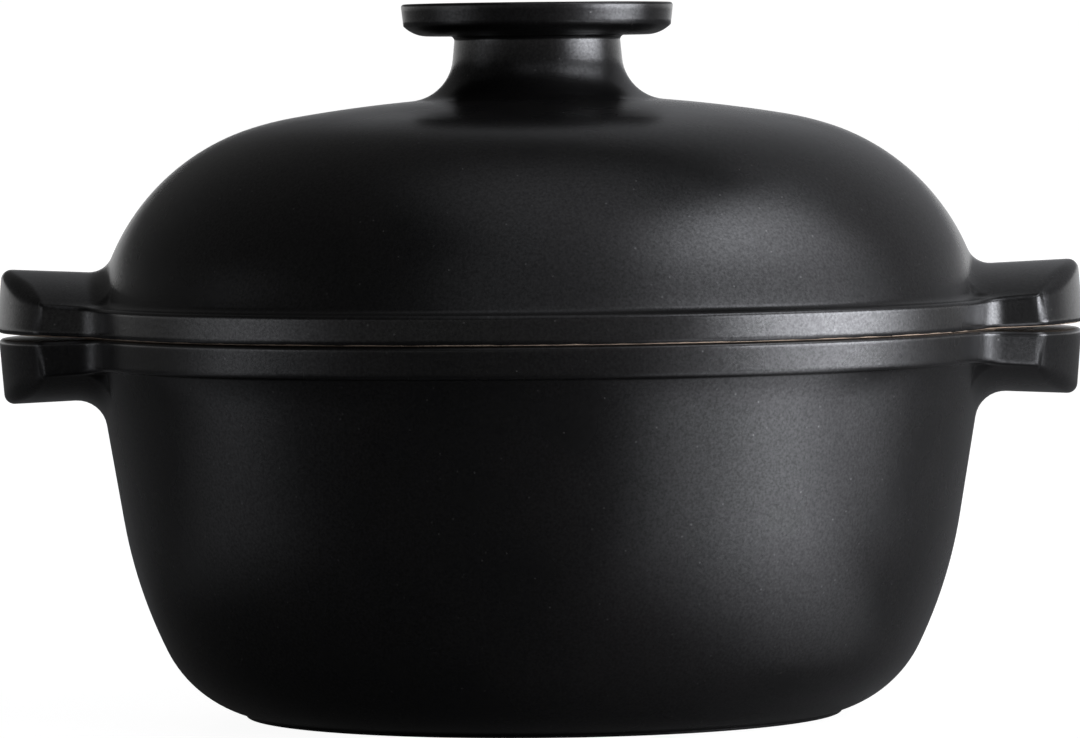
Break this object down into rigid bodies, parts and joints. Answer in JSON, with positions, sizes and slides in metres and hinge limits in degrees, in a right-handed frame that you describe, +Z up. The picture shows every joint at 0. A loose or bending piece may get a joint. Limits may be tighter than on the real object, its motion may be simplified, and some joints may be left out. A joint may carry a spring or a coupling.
{
  "type": "casserole pot with lid",
  "caption": "Round glazed ceramic casserole: a deep bowl with crowned handle lugs and a separate domed lid with matching lugs and a flat disc knob on a flared neck.",
  "frame": {"origin": "middle of the base, on the surface the pot stands on", "axes": "+Z up along the axis of the pot and lid, +X through the handle lugs"},
  "size_m": [0.321, 0.271, 0.21],
  "materials": {
    "pot_glaze": "satin black glaze",
    "lid_glaze": "satin black glaze, bare tan clay on the seat"
  },
  "bodies": {
    "root": {"pot": "pot_glaze", "lid": "lid_glaze"}
  },
  "joints": []
}
